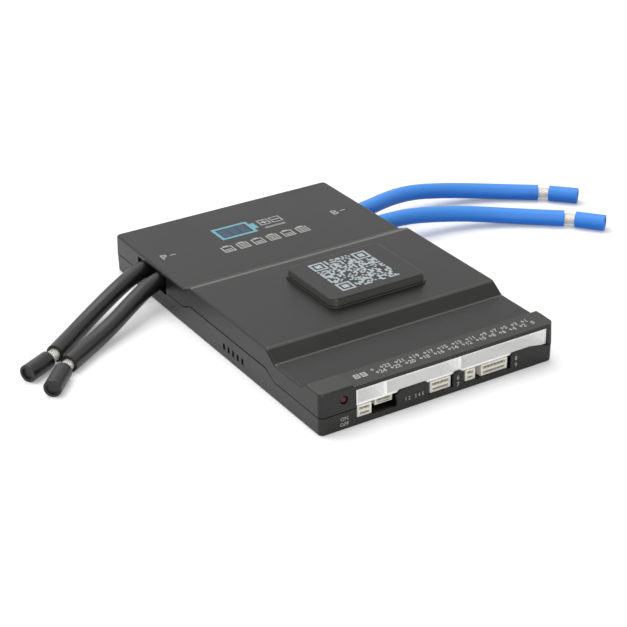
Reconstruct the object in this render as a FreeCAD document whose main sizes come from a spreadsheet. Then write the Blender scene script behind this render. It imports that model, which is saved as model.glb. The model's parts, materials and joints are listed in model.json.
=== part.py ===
import FreeCAD
import Part
import Sketcher
import math
import os

# Battery management board in a two-shell case.
# The case is 162 x 103 mm. Its front face carries a row of balance headers with a row of small
# signal ports below it. Two black leads leave the left side and two blue leads the right side.
# X runs right along the connector face, Y runs back, Z is up.
# The origin is the middle of the case's underside.

SIZES = [
    # outer case
    ("case_length", 162.0, "front face to rear face"),
    ("case_width", 102.8, "side to side at the split"),
    ("corner_round", 2.0, "plan corners of both shells"),
    ("cover_inset", 0.3, "how far the cover leans in from the split to its top"),
    ("foot_inset", 0.2, "how far the base leans in from the split to its foot"),
    ("edge_round", 0.9, "rounded rim of the cover"),
    ("crease_round", 1.2, "rounded creases across the cover"),
    ("foot_round", 0.8, "rounded bottom edge of the base"),
    ("skin", 1.6, "top thickness of the cover"),
    ("side_wall", 2.1, "side and rear walls"),
    ("front_wall", 1.2, "front wall of the base"),
    ("hood_wall", 1.2, "front wall of the cover"),
    ("floor_thick", 2.2, "floor of the base"),
    ("split_gap", 0.4, "dark line between the shells"),
    # heights of the cover's steps
    ("top_back", 16.1, "rear level"),
    ("top_mid", 18.7, "middle level"),
    ("top_low", 14.6, "trough behind the hood"),
    ("top_hood", 16.9, "hood over the headers"),
    ("strip_front", 16.0, "front edge of the sloping number strip"),
    ("hood_ceiling", 14.5, "underside of the hood"),
    # runs along Y, counted from the front face
    ("hood_run", 10.0, "depth of the hood"),
    ("hood_back_run", 3.0, "slope behind the hood"),
    ("trough_run", 18.5, "level trough"),
    ("ramp_run", 6.0, "ramp up to the middle level"),
    ("middle_run", 58.3, "middle level"),
    ("riser_run", 6.0, "slope down to the rear level"),
    # heights of the split line
    ("split_front", 7.2, "split at the front"),
    ("split_mid", 10.3, "split along the middle"),
    ("split_back", 7.8, "split at the rear"),
    # raised pad on the middle level
    ("pad_length_x", 42.5, "pad top along X"),
    ("pad_length_y", 34.6, "pad top along Y"),
    ("pad_centre_x", 6.7, "pad centre right of the middle line"),
    ("pad_centre_y", 29.7, "pad centre behind the foot of the middle level"),
    ("pad_rise", 2.8, "pad above its plinth"),
    ("pad_lean", 0.25, "how far the pad widens to its foot"),
    ("pad_round", 3.2, "pad plan corners"),
    ("pad_rim", 0.8, "rounded rim of the pad"),
    ("plinth_rise", 0.9, "plinth above the middle level"),
    ("plinth_margin", 0.7, "plinth beyond the pad"),
    # number strip and header window
    ("strip_left", 1.6, "number strip beyond the headers' left end"),
    ("window_left", 0.5, "header window beyond the headers' left end"),
    ("window_right", 0.3, "header window short of the headers' right end"),
    # side windows for the leads
    ("lead_window_front", 45.8, "front end of the side windows before the rear face"),
    ("lead_window_rear", 21.1, "rear end of the side windows before the rear face"),
    ("lead_diameter", 7.0, "over the insulation"),
    ("wire_diameter", 4.7, "bare strands"),
    ("lead_clearance", 0.3, "round the leads in the windows"),
    # side vents
    ("vent_first", 69.1, "rearmost vent behind the front face"),
    ("vent_pitch", 3.5, "from vent to vent"),
    ("vent_count", 5.0, "vents on each side"),
    ("vent_width", 1.5, "along the wall"),
    ("vent_tall", 2.6, "up the wall"),
    ("vent_middle", 5.0, "height of the vents' middle"),
    # fixings
    ("case_screw_x", 8.1, "case screws from the side faces"),
    ("case_screw_rear", 7.6, "rear case screws before the rear face"),
    ("case_screw_front", 19.0, "front case screws behind the front face"),
    ("case_screw_diameter", 3.0, "case screw shank"),
    ("case_screw_head", 5.4, "case screw head"),
    ("case_screw_head_tall", 2.0, "case screw head"),
    ("case_screw_reach", 10.0, "case screw shank length"),
    ("head_clearance", 0.3, "round the heads and shanks"),
    ("head_sunk", 0.4, "heads above the rest plane"),
    ("case_post", 8.0, "posts round the case screws"),
    ("boss", 6.6, "bosses under the cover"),
    ("board_screw_x", 13.4, "board screws from the side faces"),
    ("board_screw_rear", 54.0, "rear board screws before the rear face"),
    ("board_screw_front", 37.0, "front board screws behind the front face"),
    ("board_screw_diameter", 2.5, "board screw shank"),
    ("board_screw_head", 4.6, "board screw head"),
    ("board_screw_head_tall", 1.6, "board screw head"),
    ("board_screw_reach", 5.0, "board screw shank length"),
    ("board_post", 5.6, "posts round the board screws"),
    # circuit board and what lies under it
    ("thermal_pad_thick", 1.4, "soft pad on the floor"),
    ("transistor_thick", 2.3, "power transistors under the board"),
    ("board_thick", 1.6, "circuit board"),
    ("board_side_gap", 4.9, "board edge inside the side faces"),
    ("board_front_gap", 6.0, "board edge behind the front face"),
    ("board_rear_gap", 3.0, "board edge before the rear face"),
    ("transistor_margin", 5.0, "board edge to the outermost transistors, at least"),
    ("transistor_rows", 2.0, "power transistors deep"),
    ("transistor_pitch_x", 10.4, "across"),
    ("transistor_pitch_y", 15.0, "deep"),
    ("transistor_size_x", 8.6, "body along X"),
    ("transistor_size_y", 10.0, "body along Y"),
    ("transistor_first_y", 45.0, "front row before the rear face"),
    ("thermal_pad_margin", 1.0, "soft pad beyond the transistors"),
    # balance headers
    ("header_left", 15.6, "header row from the left face"),
    ("header_recess", 1.3, "header fronts behind the front face"),
    ("header_tall", 6.7, "shell height"),
    ("header_deep", 8.6, "shell depth"),
    ("header_wall", 0.8, "shell wall"),
    ("header_pitch", 2.5, "contact pitch"),
    ("header_end", 2.45, "end face to first contact"),
    ("header_pin", 0.64, "contact pin"),
    ("header_pin_reach", 3.3, "pin inside the shell"),
    ("header_back", 1.0, "shell's back wall"),
    # signal ports
    ("port_recess", 1.3, "port fronts behind the front face"),
    ("port_tall", 4.8, "shell height"),
    ("port_deep", 4.6, "shell depth"),
    ("port_pitch", 1.5, "contact pitch"),
    ("port_end", 1.5, "end face to first contact"),
    ("port_lift", 0.2, "ports above the floor"),
    ("port_slot_low", 2.9, "foot of the upper slot"),
    ("port_slot_tall", 1.0, "upper slot"),
    ("port_slot_margin", 0.8, "end face to upper slot"),
    ("port_key_low", 1.0, "foot of the lower slot"),
    ("port_key_tall", 0.8, "lower slot"),
    ("port_key_margin", 1.1, "end face to lower slot"),
    ("port_slot_deep", 3.6, "both slots"),
    ("port_pin", 0.5, "contact blade"),
    ("port_pin_set", 0.5, "blade tips behind the port's front"),
    # signal port with 4 contacts, lower and set further back
    ("inset_recess", 3.0, "front behind the front face"),
    ("inset_tall", 3.0, "shell height"),
    ("inset_deep", 2.9, "shell depth"),
    ("inset_pitch", 1.5, "contact pitch"),
    ("inset_end", 1.5, "end face to first contact"),
    ("inset_lift", 1.8, "above the floor"),
    ("inset_slot_low", 1.2, "foot of the upper slot"),
    ("inset_slot_tall", 1.0, "upper slot"),
    ("inset_slot_margin", 0.8, "end face to upper slot"),
    ("inset_key_low", 0.4, "foot of the lower slot"),
    ("inset_key_tall", 0.4, "lower slot"),
    ("inset_key_margin", 1.1, "end face to lower slot"),
    ("inset_slot_deep", 2.2, "both slots"),
    ("inset_pin", 0.5, "contact blade"),
    ("inset_pin_set", 0.5, "blade tips behind the port's front"),
    # what the lead routes were read against
    ("route_side", 51.4, "side faces from the middle line"),
    ("route_rear", 81.0, "rear face from the middle"),
    # status lamp
    ("lamp_x", 10.0, "lamp middle from the left face"),
    ("lamp_z", 12.2, "lamp middle"),
    ("lamp_diameter", 3.0, "lens"),
    ("lamp_collar", 3.8, "lens collar"),
    ("lamp_deep", 5.3, "lens and collar"),
    ("lamp_clearance", 0.15, "round the lens"),
    ("lamp_leg", 0.5, "lamp legs"),
    # bars and parts on top of the board
    ("bar_thick", 0.9, "lead bars"),
    ("bar_outer", 6.0, "outer edge from the side faces"),
    ("bar_inner", 22.4, "inner edge from the side faces"),
    ("bar_front", 48.0, "front end before the rear face"),
    ("bar_rear", 15.0, "rear end before the rear face"),
    ("shunt_long", 6.4, "shunt resistors along X"),
    ("shunt_wide", 3.2, "along Y"),
    ("shunt_tall", 0.8, "above the board"),
    ("shunt_x", 28.9, "middle of the row from the left face"),
    ("shunt_first_y", 44.0, "front one before the rear face"),
    ("shunt_pitch", 6.0, "from one to the next"),
    ("shunt_count", 5.0, "shunt resistors"),
    ("controller_side", 12.0, "controller chip"),
    ("controller_tall", 1.4, "above the board"),
    ("controller_x", 29.4, "middle from the left face"),
    ("controller_y", 31.0, "middle behind the front face"),
    ("radio_wide", 13.0, "radio module along X"),
    ("radio_long", 18.0, "along Y"),
    ("radio_tall", 2.6, "above the board"),
    ("radio_x", 15.4, "middle from the left face"),
    ("radio_y", 57.0, "middle behind the front face"),
    ("sense_long", 7.5, "sense chips along X"),
    ("sense_wide", 5.2, "along Y"),
    ("sense_tall", 1.6, "above the board"),
    ("sense_x", 21.4, "middle of the row from the right face"),
    ("sense_first_y", 23.0, "front one behind the front face"),
    ("sense_pitch", 8.5, "from one to the next"),
    ("sense_count", 3.0, "sense chips"),
    ("coil_long", 26.0, "balance coil along X"),
    ("coil_wide", 24.0, "along Y"),
    ("coil_tall", 12.0, "above the board"),
    ("coil_lean", 0.4, "how far the coil narrows to its top"),
    ("can_diameter", 8.0, "storage capacitors"),
    ("can_long", 14.0, "along Y"),
    ("can_pitch", 9.0, "from one to the next"),
    ("can_count", 4.0, "storage capacitors"),
    ("can_y", 20.3, "middle behind the pad centre"),
    # tabs of the base between the ports
    ("port_sill", 0.5, "foot of the port openings above the floor"),
    ("tab_rise", 1.3, "tabs above the split line"),
    ("tab_left_start", 32.2, "left tab, from the left face as the others"),
    ("tab_left_end", 46.0, "left tab"),
    ("tab_middle_start", 57.0, "middle tab"),
    ("tab_middle_end", 61.6, "middle tab"),
    ("tab_right_start", 83.0, "right tab"),
    ("tab_right_slope", 92.4, "where the right tab's top starts to fall"),
    ("tab_left_bevel", 1.6, "left tab's first corner"),
    ("tab_left_nick", 0.8, "left tab's second corner"),
    ("tab_middle_bevel", 1.2, "middle tab's corners"),
    ("tab_right_bevel", 1.0, "right tab's corner"),
    # left ends of the signal ports, from the left face
    ("port_3_left", 16.2, "port with 3 contacts"),
    ("port_4_left", 24.6, "port with 4 contacts"),
    ("port_5_left", 47.5, "port with 5 contacts"),
    ("port_2_left", 63.1, "port with 2 contacts"),
    ("port_7_left", 70.2, "port with 7 contacts"),
]

doc = FreeCAD.newDocument("battery_management_board")
sizes = doc.addObject("Spreadsheet::Sheet", "Sizes")
for row, (alias, value, remark) in enumerate(SIZES, start=1):
    sizes.set(f"A{row}", alias)
    sizes.set(f"B{row}", str(value))
    sizes.set(f"C{row}", remark)
    sizes.setAlias(f"B{row}", alias)
doc.recompute()

# places along Y that the steps of the case share
FRONT = "-Sizes.case_length / 2"
REAR = "Sizes.case_length / 2"
LEFT = "-Sizes.case_width / 2"
RIGHT = "Sizes.case_width / 2"
HOOD_BACK = f"{FRONT} + Sizes.hood_run"
TROUGH_FRONT = f"{HOOD_BACK} + Sizes.hood_back_run"
TROUGH_BACK = f"{TROUGH_FRONT} + Sizes.trough_run"
MIDDLE_FRONT = f"{TROUGH_BACK} + Sizes.ramp_run"
MIDDLE_BACK = f"{MIDDLE_FRONT} + Sizes.middle_run"
REAR_LEVEL = f"{MIDDLE_BACK} + Sizes.riser_run"

# heights of the stack inside
BOARD_UNDER = "Sizes.floor_thick + Sizes.thermal_pad_thick + Sizes.transistor_thick"
BOARD_TOP = f"{BOARD_UNDER} + Sizes.board_thick"
BAR_TOP = f"{BOARD_TOP} + Sizes.bar_thick"
LEAD_LEVEL = f"{BAR_TOP} + Sizes.wire_diameter / 2"
PAD_TOP = "Sizes.top_mid + Sizes.plinth_rise + Sizes.pad_rise"
INNER_HALF = "Sizes.case_width / 2 - Sizes.side_wall"
PAD_X = "Sizes.pad_centre_x"
PAD_Y = f"({MIDDLE_FRONT} + Sizes.pad_centre_y)"
SKY = "Sizes.top_mid + 20"


def new_body(label):
    """An empty body whose label names its file."""
    body = doc.addObject("PartDesign::Body", label)
    body.Label = label
    return body


def role_of(body, role):
    """One of the body's own origin planes or axes."""
    return next(item for item in body.Origin.OriginFeatures if item.Role == role)


def new_sketch(body, plane, offset=None):
    """A sketch on one of the body's own origin planes, moved along its normal."""
    flat = body.newObject("Sketcher::SketchObject", body.Label + "_sketch")
    flat.AttachmentSupport = [(role_of(body, plane), "")]
    flat.MapMode = "FlatFace"
    if offset is not None:
        flat.setExpression("AttachmentOffset.Base.z", offset)
    return flat


def bind(flat, kind, geometry, point, start, expression):
    """Fix one coordinate of a sketch point to an expression."""
    index = flat.addConstraint(Sketcher.Constraint(kind, -1, 1, geometry, point, start))
    flat.setExpression(f"Constraints[{index}]", expression)


def outline(flat, corners):
    """A closed outline through corners, each a pair of expressions."""
    first = flat.GeometryCount
    count = len(corners)
    spots = [(10 * math.cos(2 * math.pi * k / count), 10 * math.sin(2 * math.pi * k / count))
             for k in range(count)]
    for k, (u, v) in enumerate(spots):
        following = spots[(k + 1) % count]
        flat.addGeometry(Part.LineSegment(FreeCAD.Vector(u, v, 0), FreeCAD.Vector(*following, 0)))
    for k in range(count):
        flat.addConstraint(Sketcher.Constraint("Coincident", first + k, 2, first + (k + 1) % count, 1))
    for k, (u, v) in enumerate(corners):
        bind(flat, "DistanceX", first + k, 1, spots[k][0], u)
        bind(flat, "DistanceY", first + k, 1, spots[k][1], v)


def rectangle(flat, left, right, low, high):
    """A rectangle between four expressions."""
    outline(flat, [(left, low), (right, low), (right, high), (left, high)])


def circle(flat, across, along, diameter):
    """A circle with its centre and diameter bound to expressions."""
    index = flat.addGeometry(Part.Circle(FreeCAD.Vector(1, 1, 0), FreeCAD.Vector(0, 0, 1), 1))
    bind(flat, "DistanceX", index, 3, 1, across)
    bind(flat, "DistanceY", index, 3, 1, along)
    size = flat.addConstraint(Sketcher.Constraint("Diameter", index, 2.0))
    flat.setExpression(f"Constraints[{size}]", diameter)


def extrude(body, kind, flat, length, reverse=False, symmetric=False, taper=None):
    """A pad or pocket of a sketch."""
    feature = body.newObject("PartDesign::" + kind, body.Label + "_" + kind.lower())
    feature.Profile = flat
    feature.setExpression("Length", length)
    feature.Reversed = reverse
    if symmetric:
        feature.SideType = "Symmetric"
    if taper is not None:
        feature.setExpression("TaperAngle", taper)
    body.Tip = feature
    doc.recompute()
    return feature


def cut(body, flat, length, reverse=False, symmetric=False):
    """A pocket that must take material away."""
    before = body.Shape.Volume
    feature = extrude(body, "Pocket", flat, length, reverse, symmetric)
    if body.Shape.Volume >= before - 1e-6:
        raise RuntimeError(f"{feature.Name} cuts nothing")
    return feature


def round_edges(body, radius, wanted):
    """A fillet on the edges that a test picks."""
    picked = [f"Edge{k}" for k, edge in enumerate(body.Shape.Edges, start=1) if wanted(edge)]
    if not picked:
        raise RuntimeError(f"{body.Label}: no edge to round")
    solid = body.Tip
    feature = body.newObject("PartDesign::Fillet", body.Label + "_fillet")
    feature.Base = (solid, picked)
    feature.setExpression("Radius", radius)
    body.Tip = feature
    doc.recompute()
    if "Invalid" in feature.State:
        raise RuntimeError(f"{feature.Name}: {feature.getStatusString()}")
    return feature


def repeat(body, feature, axis, extent, count):
    """A row of one feature along an axis."""
    row = body.newObject("PartDesign::LinearPattern", body.Label + "_row")
    row.Originals = [feature]
    row.Direction = (role_of(body, axis), [""])
    row.setExpression("Length", extent)
    row.setExpression("Occurrences", count)
    body.Tip = row
    doc.recompute()
    return row


def upright(edge):
    """True for an edge that climbs more than it runs."""
    low, high = edge.Vertexes[0].Point, edge.Vertexes[-1].Point
    run = math.hypot(high.x - low.x, high.y - low.y)
    return abs(high.z - low.z) > 2 * run


def place(item, across="0", along="0", height="0"):
    """Bind an object's place to expressions."""
    item.setExpression("Placement.Base.x", across)
    item.setExpression("Placement.Base.y", along)
    item.setExpression("Placement.Base.z", height)


def piece(label, shape):
    """A sub-part made from a shape."""
    item = doc.addObject("Part::Feature", label)
    item.Label = label
    item.Shape = shape
    return item


# the cover's top line and the split line, front to rear
TOP_LINE = [
    (FRONT, "Sizes.top_hood"),
    (HOOD_BACK, "Sizes.top_hood"),
    (TROUGH_FRONT, "Sizes.top_low"),
    (TROUGH_BACK, "Sizes.top_low"),
    (MIDDLE_FRONT, "Sizes.top_mid"),
    (MIDDLE_BACK, "Sizes.top_mid"),
    (REAR_LEVEL, "Sizes.top_back"),
    (REAR, "Sizes.top_back"),
]
SPLIT_LINE = [
    (FRONT, "Sizes.split_front"),
    (TROUGH_BACK, "Sizes.split_front"),
    (MIDDLE_FRONT, "Sizes.split_mid"),
    (MIDDLE_BACK, "Sizes.split_mid"),
    (REAR_LEVEL, "Sizes.split_back"),
    (REAR, "Sizes.split_back"),
]


def stretched(line, shift="0"):
    """A front-to-rear line shifted in height, with both ends run out past the case."""
    moved = [(along, f"{height} + {shift}") for along, height in line]
    moved[0] = (f"{FRONT} - 5", moved[0][1])
    moved[-1] = (f"{REAR} + 5", moved[-1][1])
    return moved


def side_notch(flat, low, high):
    """The opening in both side walls that the leads pass."""
    rectangle(flat, f"{REAR} - Sizes.lead_window_front", f"{REAR} - Sizes.lead_window_rear", low, high)


def row_width(family, ways):
    """Width of a socket or port with that many contacts."""
    return f"(Sizes.{family}_pitch * ({ways} - 1) + 2 * Sizes.{family}_end)"


WINDOW_LOW = f"{LEAD_LEVEL} - Sizes.lead_diameter / 2 - Sizes.lead_clearance"
WINDOW_HIGH = f"{LEAD_LEVEL} + Sizes.lead_diameter / 2 + Sizes.lead_clearance / 2"
HEADERS = ("4", "12", "15")
HEADER_LEFT = f"{LEFT} + Sizes.header_left"
HEADER_RIGHT = HEADER_LEFT + "".join(f" + {row_width('header', ways)}" for ways in HEADERS)
WINDOW_LEFT = f"{HEADER_LEFT} - Sizes.window_left"
WINDOW_RIGHT = f"{HEADER_RIGHT} - Sizes.window_right"


def four_spots(kind):
    """Places of the four case screws or board screws."""
    across = f"Sizes.case_width / 2 - Sizes.{kind}_screw_x"
    ends = (f"{FRONT} + Sizes.{kind}_screw_front", f"{REAR} - Sizes.{kind}_screw_rear")
    return [(side, along) for side in (f"-({across})", across) for along in ends]


SCREW_SPOTS = four_spots("case")
BOARD_SPOTS = four_spots("board")
BOARD_HALF = "(Sizes.case_width / 2 - Sizes.board_side_gap)"


# upper cover
cover = new_body("upper_cover")
flat = new_sketch(cover, "XY_Plane", "Sizes.split_front")
rectangle(flat, "-Sizes.case_width / 2", "Sizes.case_width / 2", FRONT, REAR)
extrude(cover, "Pad", flat, "Sizes.top_mid - Sizes.split_front",
        taper="-atan(Sizes.cover_inset / (Sizes.top_mid - Sizes.split_front))")
round_edges(cover, "Sizes.corner_round", upright)
flat = new_sketch(cover, "YZ_Plane")
outline(flat, stretched(TOP_LINE) + [(f"{REAR} + 5", SKY), (f"{FRONT} - 5", SKY)])
cut(cover, flat, "Sizes.case_width + 10", symmetric=True)


def crease(edge):
    """True for a crease that crosses the whole cover."""
    box = edge.BoundBox
    return box.XLength > sizes.case_width - 4 and abs(box.Center.y) < sizes.case_length / 2 - 4


round_edges(cover, "Sizes.crease_round", crease)


def rim(edge):
    """True for an edge of the rim round the cover's top."""
    box = edge.BoundBox
    at_side = box.XLength < 4 and abs(box.Center.x) > sizes.case_width / 2 - 4
    at_end = box.YLength < 4 and abs(box.Center.y) > sizes.case_length / 2 - 4
    return (at_side or at_end) and box.ZMin > sizes.split_front + 2 and not upright(edge)


round_edges(cover, "Sizes.edge_round", rim)

# sloping number strip over the headers
flat = new_sketch(cover, "YZ_Plane", f"{HEADER_LEFT} - Sizes.strip_left")
outline(flat, [(HOOD_BACK, "Sizes.top_hood"), (f"{FRONT}", "Sizes.strip_front"),
               (f"{FRONT} - 5", "Sizes.strip_front"), (f"{FRONT} - 5", SKY), (HOOD_BACK, SKY)])
cut(cover, flat, "Sizes.case_width", reverse=True)

# split line along the skirt
flat = new_sketch(cover, "YZ_Plane")
outline(flat, stretched(SPLIT_LINE, "Sizes.split_gap") + [(f"{REAR} + 5", "-5"), (f"{FRONT} - 5", "-5")])
cut(cover, flat, "Sizes.case_width + 10", symmetric=True)

# hollow
flat = new_sketch(cover, "YZ_Plane")
outline(flat, [
    (f"{FRONT} + Sizes.hood_wall", "-5"),
    (f"{FRONT} + Sizes.hood_wall", "Sizes.hood_ceiling"),
    (HOOD_BACK, "Sizes.hood_ceiling"),
    (TROUGH_FRONT, "Sizes.top_low - Sizes.skin"),
    (TROUGH_BACK, "Sizes.top_low - Sizes.skin"),
    (MIDDLE_FRONT, "Sizes.top_mid - Sizes.skin"),
    (MIDDLE_BACK, "Sizes.top_mid - Sizes.skin"),
    (REAR_LEVEL, "Sizes.top_back - Sizes.skin"),
    (f"{REAR} - Sizes.side_wall", "Sizes.top_back - Sizes.skin"),
    (f"{REAR} - Sizes.side_wall", "-5"),
])
cut(cover, flat, f"2 * ({INNER_HALF})", symmetric=True)

# raised pad on its plinth, hollow below
flat = new_sketch(cover, "XY_Plane", "Sizes.top_mid - Sizes.skin / 2")
half_x = "(Sizes.pad_length_x / 2 + Sizes.pad_lean + Sizes.plinth_margin)"
half_y = "(Sizes.pad_length_y / 2 + Sizes.pad_lean + Sizes.plinth_margin)"
rectangle(flat, f"{PAD_X} - {half_x}", f"{PAD_X} + {half_x}",
          f"{PAD_Y} - {half_y}", f"{PAD_Y} + {half_y}")
extrude(cover, "Pad", flat, "Sizes.skin / 2 + Sizes.plinth_rise")

flat = new_sketch(cover, "XY_Plane", "Sizes.top_mid + Sizes.plinth_rise")
half_x = "(Sizes.pad_length_x / 2 + Sizes.pad_lean)"
half_y = "(Sizes.pad_length_y / 2 + Sizes.pad_lean)"
rectangle(flat, f"{PAD_X} - {half_x}", f"{PAD_X} + {half_x}",
          f"{PAD_Y} - {half_y}", f"{PAD_Y} + {half_y}")
extrude(cover, "Pad", flat, "Sizes.pad_rise", taper="-atan(Sizes.pad_lean / Sizes.pad_rise)")
plinth_top = sizes.top_mid + sizes.plinth_rise
round_edges(cover, "Sizes.pad_round",
            lambda edge: upright(edge) and edge.BoundBox.ZMin > plinth_top - 0.01)
round_edges(cover, "Sizes.pad_round + Sizes.plinth_margin",
            lambda edge: upright(edge) and sizes.top_mid - 0.01 < edge.BoundBox.ZMin < plinth_top - 0.01)
round_edges(cover, "Sizes.pad_rim", lambda edge: edge.BoundBox.ZMin > plinth_top + sizes.pad_rise - 0.01)
flat = new_sketch(cover, "XY_Plane", f"{PAD_TOP} - Sizes.skin")
half_x = "(Sizes.pad_length_x / 2 - Sizes.skin)"
half_y = "(Sizes.pad_length_y / 2 - Sizes.skin)"
rectangle(flat, f"{PAD_X} - {half_x}", f"{PAD_X} + {half_x}",
          f"{PAD_Y} - {half_y}", f"{PAD_Y} + {half_y}")
cut(cover, flat, "Sizes.plinth_rise + Sizes.pad_rise + 1")

# window for the headers, openings for the leads, hole for the lamp
flat = new_sketch(cover, "XZ_Plane", f"{REAR} + 1")
rectangle(flat, WINDOW_LEFT, WINDOW_RIGHT, "-5", "Sizes.hood_ceiling")
cut(cover, flat, "Sizes.hood_wall + 2")
flat = new_sketch(cover, "YZ_Plane")
side_notch(flat, "-5", WINDOW_HIGH)
cut(cover, flat, "Sizes.case_width + 10", symmetric=True)
flat = new_sketch(cover, "XZ_Plane", f"{REAR} + 1")
circle(flat, f"{LEFT} + Sizes.lamp_x", "Sizes.lamp_z", "Sizes.lamp_diameter + 2 * Sizes.lamp_clearance")
cut(cover, flat, "Sizes.hood_wall + 2")

# bosses that take the case screws
for end, ceiling in enumerate(("Sizes.top_low", "Sizes.top_back")):
    flat = new_sketch(cover, "XY_Plane", BOARD_TOP)
    for across, along in SCREW_SPOTS[end::2]:
        circle(flat, across, along, "Sizes.boss")
    extrude(cover, "Pad", flat, f"{ceiling} - Sizes.skin / 2 - ({BOARD_TOP})")
SCREW_SEAT = "Sizes.head_sunk + Sizes.case_screw_head_tall"
flat = new_sketch(cover, "XY_Plane", f"{SCREW_SEAT} + Sizes.case_screw_reach + 0.2")
for across, along in SCREW_SPOTS:
    circle(flat, across, along, "Sizes.case_screw_diameter")
cut(cover, flat, "Sizes.case_screw_reach")

# lower base
base = new_body("lower_base")
foot_half = "(Sizes.case_width / 2 - Sizes.foot_inset)"
flat = new_sketch(base, "XY_Plane")
rectangle(flat, f"-{foot_half}", foot_half, f"{FRONT} + Sizes.foot_inset", f"{REAR} - Sizes.foot_inset")
extrude(base, "Pad", flat, "Sizes.split_mid", taper="atan(Sizes.foot_inset / Sizes.split_mid)")
round_edges(base, "Sizes.corner_round", upright)
round_edges(base, "Sizes.foot_round", lambda edge: edge.BoundBox.ZMax < 0.01)
BEHIND_FRONT = f"{FRONT} + Sizes.front_wall"
flat = new_sketch(base, "YZ_Plane")
outline(flat, [(BEHIND_FRONT, "Sizes.split_front")] + stretched(SPLIT_LINE)[1:]
        + [(f"{REAR} + 5", SKY), (BEHIND_FRONT, SKY)])
cut(base, flat, "Sizes.case_width + 10", symmetric=True)
flat = new_sketch(base, "XY_Plane", "Sizes.split_mid + 1")
rectangle(flat, f"-({INNER_HALF})", INNER_HALF, BEHIND_FRONT, f"{REAR} - Sizes.side_wall")
cut(base, flat, "Sizes.split_mid + 1 - Sizes.floor_thick")

# top edge of the front wall: openings for the ports, with tabs standing between them
PORT_SILL = "Sizes.floor_thick + Sizes.port_sill"
TAB_TOP = "Sizes.split_front + Sizes.tab_rise"
BESIDE = "Sizes.case_width / 2 + 5"
flat = new_sketch(base, "XZ_Plane", f"{REAR} + 1")
outline(flat, [
    (f"-({BESIDE})", "Sizes.split_front"),
    (WINDOW_LEFT, "Sizes.split_front"),
    (WINDOW_LEFT, PORT_SILL),
    (f"{LEFT} + Sizes.tab_left_start", PORT_SILL),
    (f"{LEFT} + Sizes.tab_left_start", f"{TAB_TOP} - Sizes.tab_left_bevel"),
    (f"{LEFT} + Sizes.tab_left_start + Sizes.tab_left_bevel", TAB_TOP),
    (f"{LEFT} + Sizes.tab_left_end - Sizes.tab_left_nick", TAB_TOP),
    (f"{LEFT} + Sizes.tab_left_end", f"{TAB_TOP} - Sizes.tab_left_nick"),
    (f"{LEFT} + Sizes.tab_left_end", PORT_SILL),
    (f"{LEFT} + Sizes.tab_middle_start", PORT_SILL),
    (f"{LEFT} + Sizes.tab_middle_start", f"{TAB_TOP} - Sizes.tab_middle_bevel"),
    (f"{LEFT} + Sizes.tab_middle_start + Sizes.tab_middle_bevel", TAB_TOP),
    (f"{LEFT} + Sizes.tab_middle_end - Sizes.tab_middle_bevel", TAB_TOP),
    (f"{LEFT} + Sizes.tab_middle_end", f"{TAB_TOP} - Sizes.tab_middle_bevel"),
    (f"{LEFT} + Sizes.tab_middle_end", PORT_SILL),
    (f"{LEFT} + Sizes.tab_right_start", PORT_SILL),
    (f"{LEFT} + Sizes.tab_right_start", f"{TAB_TOP} - Sizes.tab_right_bevel"),
    (f"{LEFT} + Sizes.tab_right_start + Sizes.tab_right_bevel", TAB_TOP),
    (f"{LEFT} + Sizes.tab_right_slope", TAB_TOP),
    (WINDOW_RIGHT, "Sizes.split_front"),
    (BESIDE, "Sizes.split_front"),
    (BESIDE, SKY),
    (f"-({BESIDE})", SKY),
])
cut(base, flat, "Sizes.front_wall + 1")

# openings for the leads and the vents
flat = new_sketch(base, "YZ_Plane")
side_notch(flat, WINDOW_LOW, SKY)
cut(base, flat, "Sizes.case_width + 10", symmetric=True)
flat = new_sketch(base, "YZ_Plane")
VENT = f"{FRONT} + Sizes.vent_first"
rectangle(flat, f"{VENT} - Sizes.vent_width / 2", f"{VENT} + Sizes.vent_width / 2",
          "Sizes.vent_middle - Sizes.vent_tall / 2", "Sizes.vent_middle + Sizes.vent_tall / 2")
slot = cut(base, flat, "Sizes.case_width + 10", symmetric=True)
row = repeat(base, slot, "Y_Axis", "Sizes.vent_pitch * (Sizes.vent_count - 1)", "Sizes.vent_count")
row.Reversed = True
doc.recompute()

# posts that carry the board, with the holes of their screws
flat = new_sketch(base, "XY_Plane", "Sizes.floor_thick")
for across, along in SCREW_SPOTS:
    circle(flat, across, along, "Sizes.case_post")
for across, along in BOARD_SPOTS:
    circle(flat, across, along, "Sizes.board_post")
extrude(base, "Pad", flat, "Sizes.thermal_pad_thick + Sizes.transistor_thick")
flat = new_sketch(base, "XY_Plane", "-1")
for across, along in SCREW_SPOTS:
    circle(flat, across, along, "Sizes.case_screw_diameter + 2 * Sizes.head_clearance")
cut(base, flat, "Sizes.floor_thick + 10", reverse=True)
flat = new_sketch(base, "XY_Plane", "-1")
for across, along in SCREW_SPOTS:
    circle(flat, across, along, "Sizes.case_screw_head + 2 * Sizes.head_clearance")
cut(base, flat, "1 + Sizes.head_sunk + Sizes.case_screw_head_tall", reverse=True)
flat = new_sketch(base, "XY_Plane", BOARD_UNDER)
for across, along in BOARD_SPOTS:
    circle(flat, across, along, "Sizes.board_screw_diameter")
cut(base, flat, "Sizes.board_screw_reach - Sizes.board_thick")

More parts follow.
